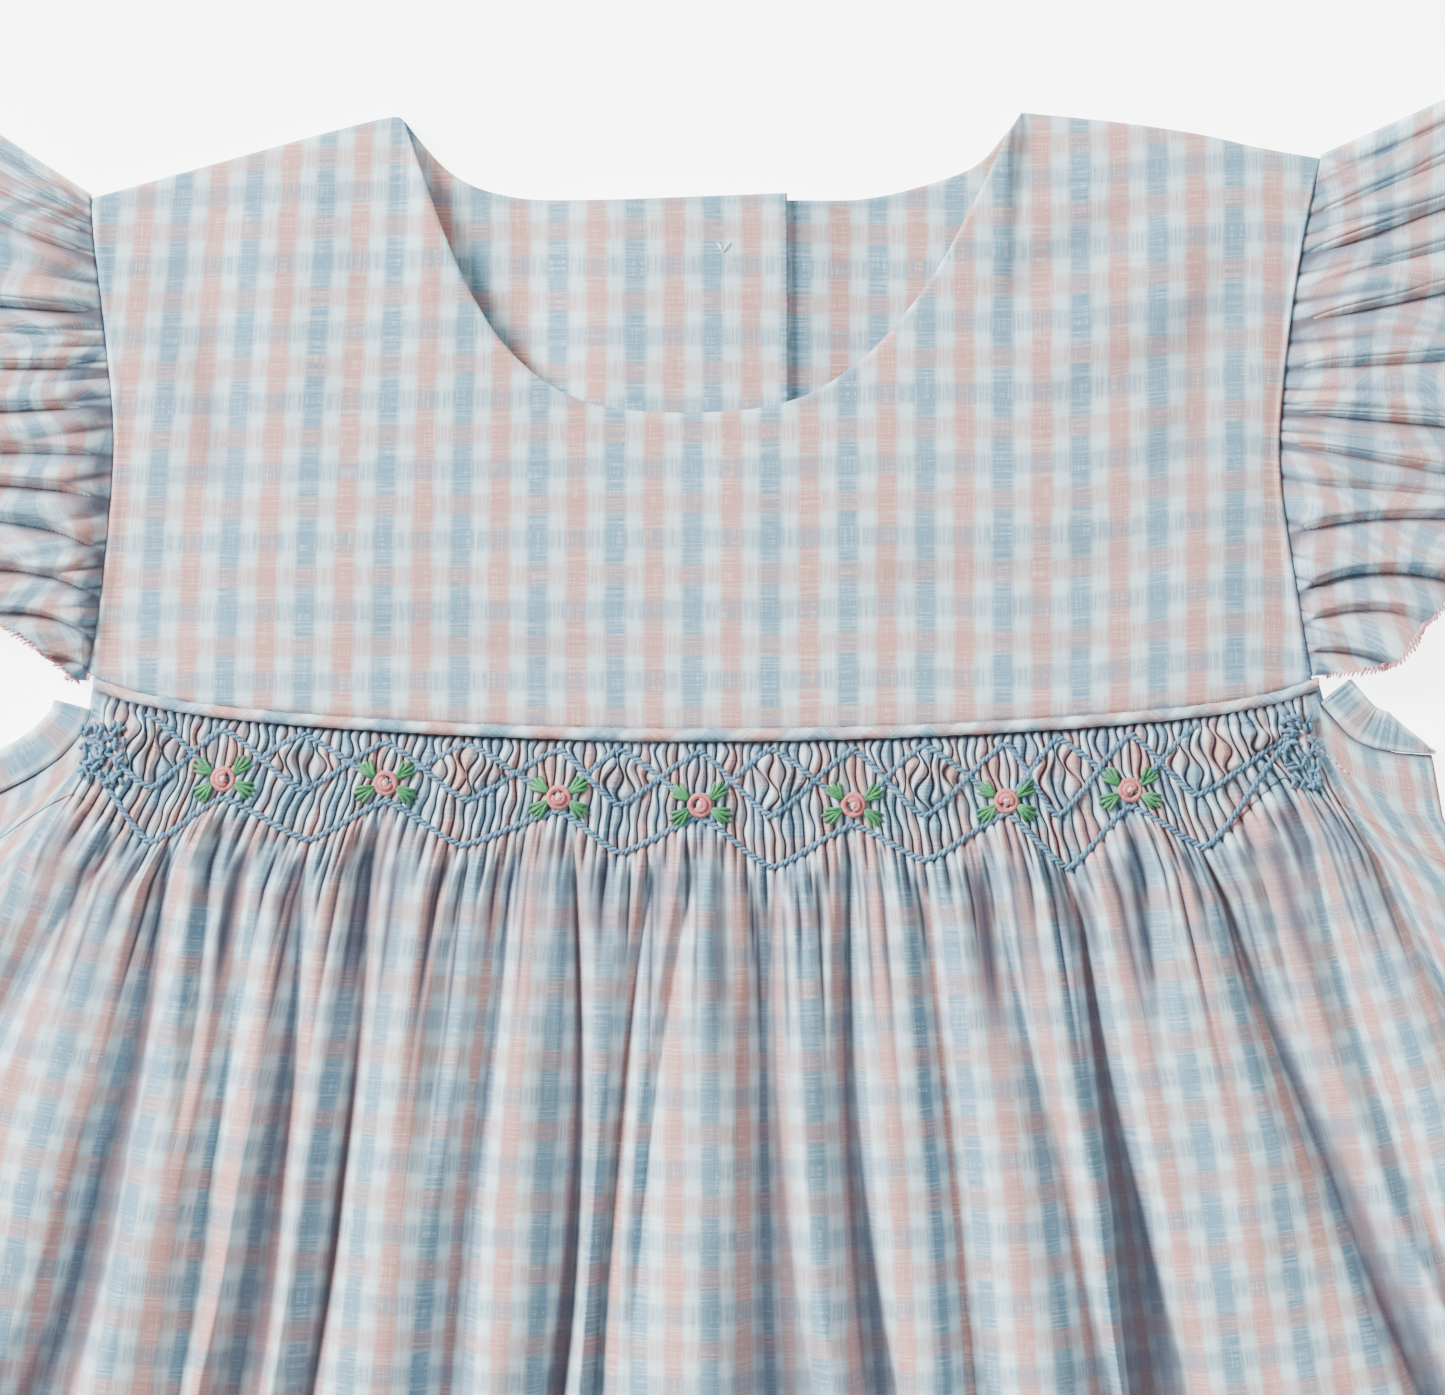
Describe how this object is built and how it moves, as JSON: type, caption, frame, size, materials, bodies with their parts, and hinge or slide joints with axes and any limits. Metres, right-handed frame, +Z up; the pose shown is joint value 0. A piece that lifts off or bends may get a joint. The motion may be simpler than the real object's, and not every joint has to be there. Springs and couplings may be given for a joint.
{
  "type": "smocked bubble romper",
  "caption": "Child's checked cotton romper laid flat: plain yoke with scooped neck, piping, smocked and embroidered band, gathered bubble body and flutter sleeves.",
  "frame": {"origin": "on the flat underside of the back of the body, on the centre line", "axes": "+Y towards the neck, the garment's length; +X to the right as seen from above; +Z up from the surface that it lies on"},
  "size_m": [0.3808, 0.4421, 0.0146],
  "materials": {
    "checked_cotton": "matt plain-weave cotton, pale ground with blue and pink checks",
    "bias_piping": "the same checked cotton cut on the bias over a cord",
    "smocking_thread": "stranded cotton, blue grey, soft sheen",
    "flower_thread": "stranded cotton, rose pink, soft sheen",
    "leaf_thread": "stranded cotton, leaf green, soft sheen",
    "button": "white, polished"
  },
  "bodies": {
    "root": {"front_yoke": "checked_cotton", "back_yoke_left": "checked_cotton", "back_yoke_right": "checked_cotton", "piping": "bias_piping", "front_body": "checked_cotton", "back_body": "checked_cotton", "sleeve_left": "checked_cotton", "sleeve_right": "checked_cotton", "armhole_binding_left": "checked_cotton", "armhole_binding_right": "checked_cotton", "leg_band_left": "checked_cotton", "leg_band_right": "checked_cotton", "crotch_band_front": "checked_cotton", "crotch_band_back": "checked_cotton", "button_top": "button", "button_middle": "button", "button_lower": "button"}
  },
  "joints": []
}
